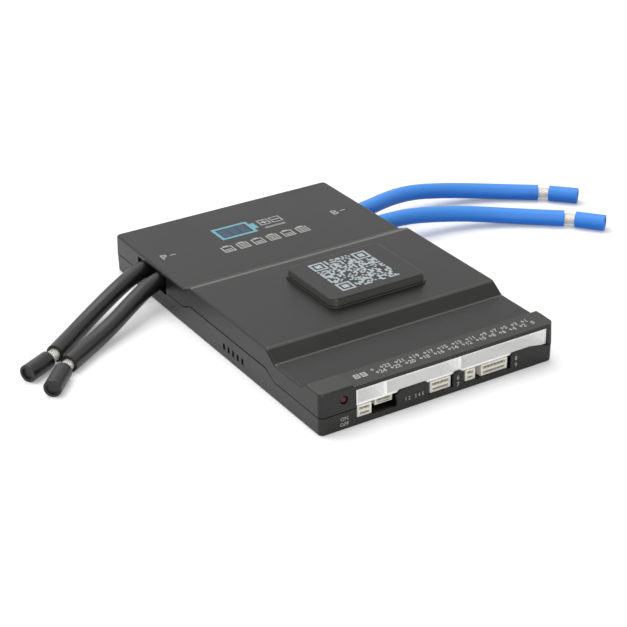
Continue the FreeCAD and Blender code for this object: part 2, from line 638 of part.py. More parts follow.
# circuit board
board = new_body("main_board")
flat = new_sketch(board, "XY_Plane")
rectangle(flat, f"-{BOARD_HALF}", BOARD_HALF,
          f"{FRONT} + Sizes.board_front_gap", f"{REAR} - Sizes.board_rear_gap")
extrude(board, "Pad", flat, "Sizes.board_thick")
round_edges(board, "Sizes.corner_round / 2", upright)
flat = new_sketch(board, "XY_Plane", "Sizes.board_thick")
for across, along in SCREW_SPOTS:
    circle(flat, across, along, "Sizes.case_screw_diameter + 2 * Sizes.head_clearance")
for across, along in BOARD_SPOTS:
    circle(flat, across, along, "Sizes.board_screw_diameter + 2 * Sizes.head_clearance")
cut(board, flat, "Sizes.board_thick")
place(board, height=BOARD_UNDER)


def screw(head, head_tall, shank, reach, turned):
    """A pan-head screw along Z, its seat at the origin, turned head down or head up."""
    step = -1 if turned else 1
    profile = [(0, step * head_tall), (head / 2 - 0.4, step * head_tall),
               (head / 2, step * (head_tall - 0.6)), (head / 2, 0), (shank / 2, 0),
               (shank / 2, -step * reach), (0, -step * reach)]
    corners = [FreeCAD.Vector(across, 0, height) for across, height in profile]
    face = Part.Face(Part.makePolygon(corners + corners[:1]))
    body = face.revolve(FreeCAD.Vector(0, 0, 0), FreeCAD.Vector(0, 0, 1), 360)
    recess = Part.makeBox(head * 0.5, 0.7, 0.8, FreeCAD.Vector(-head * 0.25, -0.35, 0))
    cross = recess.fuse(recess.rotated(FreeCAD.Vector(0, 0, 0), FreeCAD.Vector(0, 0, 1), 90))
    cross.translate(FreeCAD.Vector(0, 0, -head_tall if turned else head_tall - 0.8))
    return body.cut(cross)


def ring_of(shape, spots):
    """Copies of a shape at several spots, as one compound."""
    return Part.makeCompound([shape.translated(FreeCAD.Vector(across, along, 0)) for across, along in spots])


half_width = sizes.case_width / 2
half_length = sizes.case_length / 2
case_spots = [(side * (half_width - sizes.case_screw_x), along) for side in (-1, 1)
              for along in (sizes.case_screw_front - half_length, half_length - sizes.case_screw_rear)]
case_screws = piece("case_screws", ring_of(
    screw(sizes.case_screw_head, sizes.case_screw_head_tall, sizes.case_screw_diameter,
          sizes.case_screw_reach, True), case_spots))
place(case_screws, height="Sizes.head_sunk + Sizes.case_screw_head_tall")
board_spots = [(side * (half_width - sizes.board_screw_x), along) for side in (-1, 1)
               for along in (sizes.board_screw_front - half_length, half_length - sizes.board_screw_rear)]
board_screws = piece("board_screws", ring_of(
    screw(sizes.board_screw_head, sizes.board_screw_head_tall, sizes.board_screw_diameter,
          sizes.board_screw_reach, False), board_spots))
place(board_screws, height=BOARD_TOP)

# power transistors on their soft pad
transistors = new_body("power_transistors")
flat = new_sketch(transistors, "XY_Plane")
rectangle(flat, "-Sizes.transistor_size_x / 2", "Sizes.transistor_size_x / 2",
          "-Sizes.transistor_size_y / 2", "Sizes.transistor_size_y / 2")
single = extrude(transistors, "Pad", flat, "Sizes.transistor_thick")
SPARE = f"(2 * {BOARD_HALF} - 2 * Sizes.transistor_margin - Sizes.transistor_size_x)"
COLUMNS = f"(floor({SPARE} / Sizes.transistor_pitch_x) + 1)"
grid = repeat(transistors, single, "X_Axis", f"Sizes.transistor_pitch_x * ({COLUMNS} - 1)", COLUMNS)
grid.Direction2 = (role_of(transistors, "Y_Axis"), [""])
grid.setExpression("Length2", "Sizes.transistor_pitch_y * (Sizes.transistor_rows - 1)")
grid.setExpression("Occurrences2", "Sizes.transistor_rows")
doc.recompute()
place(transistors, f"-Sizes.transistor_pitch_x * ({COLUMNS} - 1) / 2",
      f"{REAR} - Sizes.transistor_first_y", "Sizes.floor_thick + Sizes.thermal_pad_thick")

thermal_pad = new_body("thermal_pad")
flat = new_sketch(thermal_pad, "XY_Plane")
half_row = f"Sizes.transistor_pitch_x * ({COLUMNS} - 1) / 2"
reach_x = f"({half_row} + Sizes.transistor_size_x / 2 + Sizes.thermal_pad_margin)"
reach_y = "(Sizes.transistor_size_y / 2 + Sizes.thermal_pad_margin)"
rectangle(flat, f"-{reach_x}", reach_x, f"-{reach_y}",
          f"Sizes.transistor_pitch_y * (Sizes.transistor_rows - 1) + {reach_y}")
extrude(thermal_pad, "Pad", flat, "Sizes.thermal_pad_thick")
place(thermal_pad, "0", f"{REAR} - Sizes.transistor_first_y", "Sizes.floor_thick")


# sockets and their pins
def shell_block(label, family, ways):
    """The closed block of a socket or port, local origin at its left lower front corner."""
    shell = new_body(label)
    flat = new_sketch(shell, "XZ_Plane")
    rectangle(flat, "0", row_width(family, ways), "0", f"Sizes.{family}_tall")
    extrude(shell, "Pad", flat, f"Sizes.{family}_deep", reverse=True)
    return shell


def pin_holes(shell, family, ways, middle):
    """A hole for each contact through the back wall."""
    half = f"Sizes.{family}_pin / 2"
    flat = new_sketch(shell, "XZ_Plane")
    rectangle(flat, f"Sizes.{family}_end - {half}", f"Sizes.{family}_end + {half}",
              f"{middle} - {half}", f"{middle} + {half}")
    hole = cut(shell, flat, f"Sizes.{family}_deep + 1")
    repeat(shell, hole, "X_Axis", f"Sizes.{family}_pitch * ({ways} - 1)", ways)


def contact_row(label, family, ways, middle, tip, end):
    """Angled contacts in the frame of their socket; end is the height where their feet stop."""
    row = new_body(label)
    half = f"Sizes.{family}_pin / 2"
    bend = f"Sizes.{family}_deep + 0.3"
    far = f"{bend} + Sizes.{family}_pin"
    flat = new_sketch(row, "YZ_Plane", f"Sizes.{family}_end - {half}")
    low, high = f"{middle} - {half}", f"{middle} + {half}"
    if end == "0":
        outline(flat, [(tip, low), (bend, low), (bend, end), (far, end), (far, high), (tip, high)])
    else:
        outline(flat, [(tip, low), (far, low), (far, end), (bend, end), (bend, high), (tip, high)])
    pin = extrude(row, "Pad", flat, f"Sizes.{family}_pin")
    repeat(row, pin, "X_Axis", f"Sizes.{family}_pitch * ({ways} - 1)", ways)
    return row


def balance_header(ways):
    """A shrouded white socket with one row of pins that stand in it."""
    shell = shell_block(f"balance_header_{ways}", "header", ways)
    mouth = f"Sizes.header_deep - Sizes.header_back"
    flat = new_sketch(shell, "XZ_Plane")
    rectangle(flat, "Sizes.header_wall", f"{row_width('header', ways)} - Sizes.header_wall",
              "Sizes.header_wall", "Sizes.header_tall - Sizes.header_wall")
    cut(shell, flat, mouth)
    pin_holes(shell, "header", ways, "Sizes.header_tall / 2")
    pins = contact_row(f"balance_pins_{ways}", "header", ways, "Sizes.header_tall / 2",
                       f"{mouth} - Sizes.header_pin_reach", "0")
    return shell, pins


def signal_port(family, ways):
    """A small white port with two flat slots, its contact blades on the upper slot's floor."""
    shell = shell_block(f"signal_port_{ways}", family, ways)
    flat = new_sketch(shell, "XZ_Plane")
    for slot in ("slot", "key"):
        margin, low = f"Sizes.{family}_{slot}_margin", f"Sizes.{family}_{slot}_low"
        rectangle(flat, margin, f"{row_width(family, ways)} - {margin}",
                  low, f"{low} + Sizes.{family}_{slot}_tall")
    cut(shell, flat, f"Sizes.{family}_slot_deep")
    middle = f"(Sizes.{family}_slot_low + Sizes.{family}_pin / 2)"
    pin_holes(shell, family, ways, middle)
    board = f"{BOARD_UNDER} - Sizes.floor_thick - Sizes.{family}_lift"
    pins = contact_row(f"signal_pins_{ways}", family, ways, middle, f"Sizes.{family}_pin_set", board)
    return shell, pins


left = HEADER_LEFT
for ways in HEADERS:
    for item in balance_header(ways):
        place(item, left, f"{FRONT} + Sizes.header_recess", BOARD_TOP)
    left = f"{left} + {row_width('header', ways)}"

for ways, family in (("3", "port"), ("4", "inset"), ("5", "port"), ("2", "port"), ("7", "port")):
    for item in signal_port(family, ways):
        place(item, f"{LEFT} + Sizes.port_{ways}_left", f"{FRONT} + Sizes.{family}_recess",
              f"Sizes.floor_thick + Sizes.{family}_lift")

# status lamp
radius = sizes.lamp_diameter / 2
collar = sizes.lamp_collar / 2
inside = sizes.hood_wall + 0.2
lens_profile = [FreeCAD.Vector(across, deep, 0) for across, deep in
                [(0, radius), (radius, radius), (radius, inside), (collar, inside),
                 (collar, sizes.lamp_deep), (0, sizes.lamp_deep)]]
lens = Part.Face(Part.makePolygon(lens_profile + lens_profile[:1])).revolve(
    FreeCAD.Vector(0, 0, 0), FreeCAD.Vector(0, 1, 0), 360)
dome = Part.makeSphere(radius, FreeCAD.Vector(0, radius, 0), FreeCAD.Vector(0, 1, 0), -90, 0, 360)
lamp = piece("status_lamp", lens.fuse(dome).removeSplitter())
place(lamp, f"{LEFT} + Sizes.lamp_x", FRONT, "Sizes.lamp_z")

leg = sizes.lamp_leg
floor = sizes.floor_thick + sizes.thermal_pad_thick + sizes.transistor_thick + sizes.board_thick
drop = sizes.lamp_z - floor
legs = []
for shift in (-1.27, 1.27):
    run = Part.makeBox(leg, 2.0 + leg, leg, FreeCAD.Vector(shift - leg / 2, sizes.lamp_deep, -leg / 2))
    fall = Part.makeBox(leg, leg, drop - leg / 2,
                        FreeCAD.Vector(shift - leg / 2, sizes.lamp_deep + 2.0, -drop))
    legs.append(run.fuse(fall).removeSplitter())
lamp_legs = piece("lamp_legs", Part.makeCompound(legs))
place(lamp_legs, f"{LEFT} + Sizes.lamp_x", FRONT, "Sizes.lamp_z")


# parts on top of the board
def block(label, size_x, size_y, tall, across, along, height, count=None, step=None, taper=None):
    """A block, or a row of like blocks, standing on the board."""
    body = new_body(label)
    flat = new_sketch(body, "XY_Plane")
    rectangle(flat, f"-({size_x}) / 2", f"({size_x}) / 2", f"-({size_y}) / 2", f"({size_y}) / 2")
    feature = extrude(body, "Pad", flat, tall, taper=taper)
    if count is not None:
        repeat(body, feature, "Y_Axis", f"{step} * ({count} - 1)", count)
    place(body, across, along, height)
    return body


BAR_WIDTH = "Sizes.bar_inner - Sizes.bar_outer"
BAR_LENGTH = "Sizes.bar_front - Sizes.bar_rear"
BAR_X = f"({RIGHT} - (Sizes.bar_outer + Sizes.bar_inner) / 2)"
BAR_Y = f"{REAR} - (Sizes.bar_front + Sizes.bar_rear) / 2"
block("p_bar", BAR_WIDTH, BAR_LENGTH, "Sizes.bar_thick", f"-{BAR_X}", BAR_Y, BOARD_TOP)
block("b_bar", BAR_WIDTH, BAR_LENGTH, "Sizes.bar_thick", BAR_X, BAR_Y, BOARD_TOP)
block("shunt_resistors", "Sizes.shunt_long", "Sizes.shunt_wide", "Sizes.shunt_tall",
      f"{LEFT} + Sizes.shunt_x", f"{REAR} - Sizes.shunt_first_y", BOARD_TOP, "Sizes.shunt_count",
      "Sizes.shunt_pitch")
block("controller_chip", "Sizes.controller_side", "Sizes.controller_side", "Sizes.controller_tall",
      f"{LEFT} + Sizes.controller_x", f"{FRONT} + Sizes.controller_y", BOARD_TOP)
block("radio_module", "Sizes.radio_wide", "Sizes.radio_long", "Sizes.radio_tall",
      f"{LEFT} + Sizes.radio_x", f"{FRONT} + Sizes.radio_y", BOARD_TOP)
block("sense_chips", "Sizes.sense_long", "Sizes.sense_wide", "Sizes.sense_tall",
      f"{RIGHT} - Sizes.sense_x", f"{FRONT} + Sizes.sense_first_y", BOARD_TOP, "Sizes.sense_count",
      "Sizes.sense_pitch")
block("balance_coil", "Sizes.coil_long", "Sizes.coil_wide", "Sizes.coil_tall",
      PAD_X, PAD_Y, BOARD_TOP, taper="-atan(Sizes.coil_lean / Sizes.coil_tall)")

# capacitors lying in a row beside the coil
can_radius = sizes.can_diameter / 2
can = Part.makeCylinder(can_radius, sizes.can_long, FreeCAD.Vector(0, -sizes.can_long / 2, can_radius),
                        FreeCAD.Vector(0, 1, 0))
can_spots = [((k - (sizes.can_count - 1) / 2) * sizes.can_pitch, 0) for k in range(int(sizes.can_count))]
cans = piece("storage_capacitors", ring_of(can, can_spots))
place(cans, "0", f"{PAD_Y} + Sizes.can_y", BOARD_TOP)


# leads
def rounded_path(points):
    """Straight runs joined by tangent arcs, as large as the two runs beside each arc allow."""
    spots = [FreeCAD.Vector(*point) for point in points]
    edges = []
    radii = []
    start = spots[0]
    for before, corner, after in zip(spots, spots[1:], spots[2:]):
        back = (before - corner).normalize()
        ahead = (after - corner).normalize()
        half_turn = (math.pi - back.getAngle(ahead)) / 2
        shorter = min((corner - before).Length, (after - corner).Length)
        trim = 0.45 * shorter
        arc_radius = trim / math.tan(half_turn)
        radii.append(arc_radius)
        enter, leave = corner + back * trim, corner + ahead * trim
        centre = corner + (back + ahead).normalize() * (arc_radius / math.cos(half_turn))
        middle = centre + (corner - centre).normalize() * arc_radius
        edges.append(Part.LineSegment(start, enter).toShape())
        edges.append(Part.Arc(enter, middle, leave).toShape())
        start = leave
    edges.append(Part.LineSegment(start, spots[-1]).toShape())
    return Part.Wire(edges), radii


def tube(points, diameter):
    """A round solid along a path, with its length and bend radii."""
    path, radii = rounded_path(points)
    first = path.Edges[0]
    start = first.FirstParameter
    ring = Part.makeCircle(diameter / 2, first.valueAt(start), first.tangentAt(start))
    solid = path.makePipeShell([Part.Wire(ring)], True, False)
    expected = math.pi * diameter ** 2 / 4 * path.Length
    if abs(solid.Volume / expected - 1) > 0.01:
        raise RuntimeError("a lead's volume doesn't match its length")
    return solid, path.Length, radii


# Each lead: route of its insulation, heading of its tip in degrees, length of its tip.
LEVEL = sizes.floor_thick + sizes.thermal_pad_thick + sizes.transistor_thick + sizes.board_thick
LEVEL += sizes.bar_thick + sizes.wire_diameter / 2
REST = sizes.lead_diameter / 2
BARE = 5.0
STUB = 14.0
LEADS = {
    "p_lead_rear": ([(-47.0, 56.8, LEVEL), (-57.5, 52.0, LEVEL), (-69.5, 45.8, 8.5), (-82.5, 38.8, 5.4),
                     (-95.0, 30.3, REST), (-106.3, 20.9, REST)], -151, 12.5),
    "p_lead_front": ([(-47.0, 43.6, LEVEL), (-56.5, 39.8, LEVEL), (-67.5, 33.3, 8.7), (-79.5, 26.2, 5.8),
                      (-92.9, 18.9, REST), (-105.2, 10.5, REST)], -131, 14.0),
    "b_lead_rear": ([(47.0, 53.2, LEVEL), (58.0, 55.6, LEVEL), (72.0, 60.6, 10.0), (86.5, 63.6, 8.5),
                     (101.2, 61.6, 6.5), (115.0, 57.2, 4.7), (128.5, 50.2, REST), (140.5, 41.0, REST)],
                    -47, 13.0),
    "b_lead_front": ([(47.0, 39.0, LEVEL), (58.0, 39.4, LEVEL), (70.0, 40.6, 9.5), (83.0, 39.0, 7.7),
                      (96.0, 35.7, 6.0), (108.5, 29.8, 4.4), (121.0, 21.6, REST), (132.3, 12.2, REST)],
                     -51, 13.0),
}
for label, (route, heading, tip_length) in LEADS.items():
    lead, length, radii = tube(route, sizes.lead_diameter)
    side = "-1" if route[0][0] < 0 else "1"
    spot = (f"{side} * (Sizes.case_width / 2 - Sizes.route_side)", f"{REAR} - Sizes.route_rear")
    lead_item = piece(label, lead)
    place(lead_item, *spot)
    # bare strands between the insulation and the slug left on the end
    end = FreeCAD.Vector(*route[-1])
    along = (end - FreeCAD.Vector(*route[-2])).normalize()
    tip_along = FreeCAD.Vector(math.cos(math.radians(heading)), math.sin(math.radians(heading)), 0)
    bend = end + along * (BARE / 2)
    tip_start = bend + tip_along * (BARE / 2)
    bare, bare_length, bare_radii = tube([end, bend, tip_start], sizes.wire_diameter)
    # strands soldered along the bar inside the case
    inner_start = FreeCAD.Vector(*route[0])
    inward = (inner_start - FreeCAD.Vector(*route[1])).normalize()
    stub = Part.makeCylinder(sizes.wire_diameter / 2, STUB, inner_start, inward)
    wire_item = piece(label.replace("lead", "wire"), Part.makeCompound([bare, stub]))
    place(wire_item, *spot)
    slug = Part.makeCylinder(sizes.lead_diameter / 2, tip_length, tip_start, tip_along)
    tip_end = tip_start + tip_along * tip_length
    recess = Part.makeCylinder(sizes.wire_diameter / 2, 1.0, tip_end, tip_along * -1)
    tip_item = piece(label.replace("lead", "tip"), slug.cut(recess))
    place(tip_item, *spot)
    whole = length + bare_length + tip_length
    print(f"{label}: insulation {length:.1f} mm, whole {whole:.1f} mm outside and in, radii",
          ", ".join(f"{radius:.0f}" for radius in radii), "mm, bare bend", f"{bare_radii[0]:.0f} mm")

# check and write
doc.recompute()
for item in doc.Objects:
    if "Invalid" in item.State or "Error" in item.State:
        raise RuntimeError(f"{item.Label} failed: {item.State}")
parts = [item for item in doc.Objects if item.TypeId in ("PartDesign::Body", "Part::Feature")]
os.makedirs("parts", exist_ok=True)
for item in parts:
    if item.Shape.isNull() or not item.Shape.isValid():
        raise RuntimeError(f"{item.Label} has no valid shape")
for item in parts:
    item.Shape.exportStep(f"parts/{item.Label}.step")
print(len(parts), "pieces written")
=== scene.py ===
# %% [markdown]
# # A battery management board, dressed for its picture
# The solids come from the CAD model and stand where the real pieces stand, so nothing here moves
# them. This script adds what the CAD leaves out: the finish of every surface, the printed marks,
# the limp leads and the twisted strands at their ends.

# %% Load the solids
import json
import math
import random

import bmesh
import bpy
from mathutils import Matrix, Vector


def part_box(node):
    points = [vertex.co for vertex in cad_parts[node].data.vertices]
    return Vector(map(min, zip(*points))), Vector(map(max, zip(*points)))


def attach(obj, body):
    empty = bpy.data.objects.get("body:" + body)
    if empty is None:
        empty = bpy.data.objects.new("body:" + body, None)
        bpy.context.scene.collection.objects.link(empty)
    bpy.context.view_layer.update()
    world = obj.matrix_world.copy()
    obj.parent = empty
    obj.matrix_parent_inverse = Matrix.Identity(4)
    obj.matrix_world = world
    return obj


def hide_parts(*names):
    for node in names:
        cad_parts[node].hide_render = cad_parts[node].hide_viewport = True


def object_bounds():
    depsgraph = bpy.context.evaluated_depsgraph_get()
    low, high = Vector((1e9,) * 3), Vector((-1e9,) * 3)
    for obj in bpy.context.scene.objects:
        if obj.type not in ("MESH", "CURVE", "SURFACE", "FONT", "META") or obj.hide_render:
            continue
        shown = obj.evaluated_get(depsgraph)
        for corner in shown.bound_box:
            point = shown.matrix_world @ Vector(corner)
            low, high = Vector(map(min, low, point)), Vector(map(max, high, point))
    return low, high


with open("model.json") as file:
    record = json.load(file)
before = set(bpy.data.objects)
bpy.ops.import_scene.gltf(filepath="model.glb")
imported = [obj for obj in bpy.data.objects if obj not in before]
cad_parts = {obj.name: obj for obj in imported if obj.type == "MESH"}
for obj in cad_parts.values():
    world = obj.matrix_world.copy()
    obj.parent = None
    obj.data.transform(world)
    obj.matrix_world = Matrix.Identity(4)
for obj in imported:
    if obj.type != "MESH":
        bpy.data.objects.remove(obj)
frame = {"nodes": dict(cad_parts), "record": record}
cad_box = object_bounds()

MM = 0.001
print("solids:", len(frame["nodes"]), "box:", [round(side / MM, 1) for side in cad_box[1] - cad_box[0]])

# %% [markdown]
# ## Levels of the case
# From the rear the cover steps up to its middle level, which carries the raised pad, and a ramp
# leads down to the low level behind the number strip. Marks and worn edges follow those levels.
# The outermost faces are read from the solids, the others are the CAD's own levels. All are in
# millimetres, heights from the underside and depths from the middle.

# %% Levels
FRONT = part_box("upper_cover")[0].y / MM
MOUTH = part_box("balance_header_12")[0].y / MM
PAD_TOP = cad_box[1].z / MM
REAR_LEVEL, MIDDLE_LEVEL, LOW_LEVEL = 16.1, 18.7, 14.6
STEP_TOP, RAMP_TOP, RAMP_FOOT = 14.8, -43.5, -49.5
STRIP_FRONT, STRIP_REAR, STRIP_RUN = 16.0, 16.9, 10.0
print("front:", round(FRONT, 1), "sockets' mouth:", round(MOUTH, 1), "pad top:", round(PAD_TOP, 1))

# %% [markdown]
# ## Camera
# The picture was taken from in front and to the left, from well above. The angles and the focal
# length were solved from the case's own corners. A camera's matrix is built here from three
# directions: to the right in the picture, up in it, and back towards the eye.

# %% Camera
AZIMUTH, ELEVATION, ROLL = (math.radians(angle) for angle in (-31.17, 27.349, -0.996))
DISTANCE, ASIDE, ABOVE = 681.16 * MM, 3.696 * MM, 0.524 * MM
FOCAL_PIXELS, FRAME_PIXELS, SENSOR = 1709.8, 627, 36.0

back = Vector((math.sin(AZIMUTH) * math.cos(ELEVATION), -math.cos(AZIMUTH) * math.cos(ELEVATION),
               math.sin(ELEVATION)))
level = Vector((math.cos(AZIMUTH), math.sin(AZIMUTH), 0))
upright = back.cross(level)
right = level * math.cos(ROLL) + upright * math.sin(ROLL)
up = upright * math.cos(ROLL) - level * math.sin(ROLL)

camera_data = bpy.data.cameras.new("camera")
camera_data.sensor_width = SENSOR
camera_data.lens = SENSOR * FOCAL_PIXELS / FRAME_PIXELS
camera_data.clip_start, camera_data.clip_end = 0.01, 50
camera = bpy.data.objects.new("camera", camera_data)
bpy.context.collection.objects.link(camera)
eye = back * DISTANCE - right * ASIDE - up * ABOVE
camera.matrix_world = Matrix.Translation(eye) @ Matrix((right, up, back)).transposed().to_4x4()
bpy.context.scene.camera = camera
print("lens:", round(camera_data.lens, 1), "mm, eye:", [round(part, 3) for part in eye])

# %% [markdown]
# ## Leads
# Each lead is limp silicone over fine tinned strands. It leaves the case through the side, comes
# down under its own weight and rests on the table. A NURBS curve draws that line from a few given
# points, and its bevel gives it thickness. The order and the end points are set after the points
# are there, because set before they leave straight runs.

# %% Routes of the leads, in millimetres
LEAD_DIAMETER, STRAND_BUNDLE = 7.0 * MM, 4.7 * MM
LEVEL, REST = 10.75, 3.5
BARE = 5.0

# name: route, heading of the slug on its end in degrees, length of the insulation in metres
LEADS = {
    "p_lead_rear": ([(-47.0, 56.8, LEVEL), (-57.5, 52.0, LEVEL), (-69.5, 45.8, 8.5), (-82.5, 38.8, 5.4),
                     (-95.0, 30.3, REST), (-106.3, 20.9, REST)], -151, 0.0702),
    "p_lead_front": ([(-47.0, 43.6, LEVEL), (-56.5, 39.8, LEVEL), (-67.5, 33.3, 8.7), (-79.5, 26.2, 5.8),
                      (-92.9, 18.9, REST), (-105.2, 10.5, REST)], -131, 0.0677),
    "b_lead_rear": ([(47.0, 53.2, LEVEL), (58.0, 55.6, LEVEL), (72.0, 60.6, 10.0), (86.5, 63.6, 8.5),
                     (101.2, 61.6, 6.5), (115.0, 57.2, 4.7), (128.5, 50.2, REST), (140.5, 41.0, REST)],
                    -47, 0.1007),
    "b_lead_front": ([(47.0, 39.0, LEVEL), (58.0, 39.4, LEVEL), (70.0, 40.6, 9.5), (83.0, 39.0, 7.7),
                      (96.0, 35.7, 6.0), (108.5, 29.8, 4.4), (121.0, 21.6, REST), (132.3, 12.2, REST)],
                     -51, 0.0933),
}


def nurbs_line(name, spots):
    """A curve object through control points in metres, smooth and with its ends on the end points."""
    curve = bpy.data.curves.new(name, "CURVE")
    curve.dimensions = "3D"
    spline = curve.splines.new("NURBS")
    spline.points.add(len(spots) - 1)
    for point, spot in zip(spline.points, spots):
        point.co = (*spot, 1.0)
    spline.order_u = 3
    spline.use_endpoint_u = True
    spline.resolution_u = 16
    line = bpy.data.objects.new(name, curve)
    bpy.context.collection.objects.link(line)
    return line


insulations = {}
for name, (route, heading, length) in LEADS.items():
    spots = [Vector(spot) * MM for spot in route]
    insulation = nurbs_line(name.replace("lead", "insulation"), spots)
    insulation.data.bevel_depth = LEAD_DIAMETER / 2
    insulation.data.bevel_resolution = 10
    insulation.data.use_fill_caps = True
    insulations[name] = insulation
print("leads:", ", ".join(insulations))

# %% [markdown]
# ## Bare strands
# Near each end the insulation is cut round and slid along, so a ring of bare strands shows. The
# bundle is built as a rope is: a core, and strands that wind round it. Each strand is a thin tube
# along a helix laid about the middle line, which is read from a NURBS curve.

# %% Strands
STRANDS, STRAND_DIAMETER, STRAND_TURNS_PER_METRE = 17, 0.78 * MM, 28.0
STUB = 14.0 * MM


def points_along(spots):
    """Points on the smooth line through control points."""
    line = nurbs_line("middle_line", spots)
    mesh = bpy.data.meshes.new_from_object(line)
    found = [vertex.co.copy() for vertex in mesh.vertices]
    curve = line.data
    bpy.data.objects.remove(line)
    bpy.data.curves.remove(curve)
    bpy.data.meshes.remove(mesh)
    return found


def add_tube(mesh, line, radius, sides):
    """A closed round tube along points, added to a bmesh."""
    rings = []
    for k, spot in enumerate(line):
        ahead = (line[min(k + 1, len(line) - 1)] - line[max(k - 1, 0)]).normalized()
        turn = ahead.to_track_quat("Z", "Y").to_matrix().to_4x4()
        ring = bmesh.ops.create_circle(mesh, cap_ends=k in (0, len(line) - 1), segments=sides,
                                       radius=radius, matrix=Matrix.Translation(spot) @ turn)
        rings.append(ring["verts"])
    for low, high in zip(rings, rings[1:]):
        edges = [edge for ring in (low, high) for edge in {e for v in ring for e in v.link_edges}
                 if all(v in ring for v in edge.verts)]
        bmesh.ops.bridge_loops(mesh, edges=edges)


def strand_bundle(mesh, spots):
    """A core and its winding strands along the smooth line through spots, added to a bmesh."""
    line = points_along(spots)
    add_tube(mesh, line, STRAND_BUNDLE / 2 - STRAND_DIAMETER * 0.8, 16)
    out = Vector((0, 0, 1))
    for number in range(STRANDS):
        travelled, strand = 0.0, []
        for k, spot in enumerate(line):
            travelled += (spot - line[k - 1]).length if k else 0.0
            ahead = (line[min(k + 1, len(line) - 1)] - line[max(k - 1, 0)]).normalized()
            aside = ahead.cross(out).normalized()
            above = aside.cross(ahead)
            angle = 2 * math.pi * (number / STRANDS + travelled * STRAND_TURNS_PER_METRE)
            reach = STRAND_BUNDLE / 2 - STRAND_DIAMETER / 2
            strand.append(spot + (aside * math.cos(angle) + above * math.sin(angle)) * reach)
        add_tube(mesh, strand, STRAND_DIAMETER / 2, 6)


def new_piece(name, mesh, materials=()):
    """An object from a bmesh, its faces turned outward."""
    bmesh.ops.recalc_face_normals(mesh, faces=mesh.faces[:])
    data = bpy.data.meshes.new(name)
    mesh.to_mesh(data)
    mesh.free()
    piece = bpy.data.objects.new(name, data)
    bpy.context.collection.objects.link(piece)
    for material in materials:
        data.materials.append(material)
    return piece


strand_pieces = {}
for name, (route, heading, length) in LEADS.items():
    first, second, before, last = (Vector(route[k]) * MM for k in (0, 1, -2, -1))
    along = (last - before).normalized()
    slug_along = Vector((math.cos(math.radians(heading)), math.sin(math.radians(heading)), 0))
    bend = last + along * BARE / 2 * MM
    mesh = bmesh.new()
    strand_bundle(mesh, [last, bend, bend + slug_along * BARE / 2 * MM])
    inward = (first - second).normalized()
    strand_bundle(mesh, [first, first + inward * STUB * 0.4, first + inward * STUB])
    for face in mesh.faces:
        face.smooth = len(face.verts) == 4
    strand_pieces[name] = new_piece(name.replace("lead", "strands"), mesh)
print("strand faces:", [len(piece.data.polygons) for piece in strand_pieces.values()])

# %% [markdown]
# ## Colours and nodes
# Colours are chosen as they look on a screen, in hex, and one function turns them to the linear
# light that the shader adds up. One small function adds a node, sets it and links it.


# %% Helpers for materials
def linear(hex_colour, alpha=1.0):
    """An sRGB hex colour as linear red, green, blue and alpha."""
    parts = [int(hex_colour[k:k + 2], 16) / 255 for k in (0, 2, 4)]
    straight = [part / 12.92 if part <= 0.04045 else ((part + 0.055) / 1.055) ** 2.4 for part in parts]
    return straight + [alpha]


def add_node(tree, kind, inputs=None, **settings):
    """Adds a node, sets its properties, and fills or links its inputs."""
    node = tree.nodes.new(kind)
    for name, value in settings.items():
        setattr(node, name, value)
    for name, value in (inputs or {}).items():
        socket = node.inputs[name]
        if isinstance(value, bpy.types.NodeSocket):
            tree.links.new(value, socket)
        else:
            socket.default_value = value
    return node


def empty_material(name):
    """A material with no nodes yet, and its tree."""
    material = bpy.data.materials.new(name)
    material.use_nodes = True
    material.node_tree.nodes.clear()
    return material, material.node_tree
